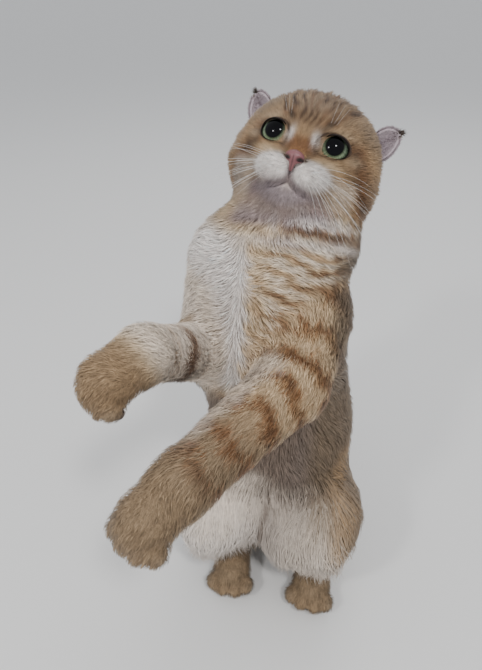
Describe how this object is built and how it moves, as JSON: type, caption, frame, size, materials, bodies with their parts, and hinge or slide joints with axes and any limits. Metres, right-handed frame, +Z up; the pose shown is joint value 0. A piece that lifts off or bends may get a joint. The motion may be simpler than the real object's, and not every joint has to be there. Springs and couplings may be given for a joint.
{
  "type": "scottish fold cat",
  "caption": "Still life-size Scottish Fold cat sitting up on its haunches, forelegs held out, head raised, small folded ears, tail laid on the floor.",
  "frame": {"origin": "middle of the base: under the centre of the part's box, on the floor that it rests on", "axes": "+Z up, the cat faces -Y with its left side at +X, and its tail lies towards +Y"},
  "size_m": [0.196, 0.446, 0.3956],
  "materials": {
    "coat_golden": "short dense ticked fur, golden brown with darker stripes",
    "coat_cream": "short dense fur, cream with ginger bands",
    "coat_tan": "short close fur, tan, lighter over the toes",
    "coat_umber": "dense ticked fur, grey brown with dark rings",
    "coat_white": "long soft fur, cream white, in hanging locks",
    "ear_skin": "thin matt skin, lilac pink, with fine down",
    "nose_leather": "moist fine-grained skin, brick pink",
    "eye_wet": "wet clear surface over a green iris and a wide black pupil"
  },
  "bodies": {
    "root": {"ear_left": "ear_skin", "ear_right": "ear_skin", "eye_left": "eye_wet", "eye_right": "eye_wet", "forearm_left": "coat_golden", "forearm_right": "coat_golden", "forepaw_left": "coat_tan", "forepaw_right": "coat_tan", "head": "coat_golden", "hindfoot_left": "coat_tan", "hindfoot_right": "coat_tan", "neck": "coat_cream", "nose": "nose_leather", "tail_base": "coat_umber", "tail_middle": "coat_golden", "tail_tip": "coat_umber", "thigh_left": "coat_white", "thigh_right": "coat_white", "torso": "coat_cream", "upper_arm_left": "coat_golden", "upper_arm_right": "coat_golden"}
  },
  "joints": []
}
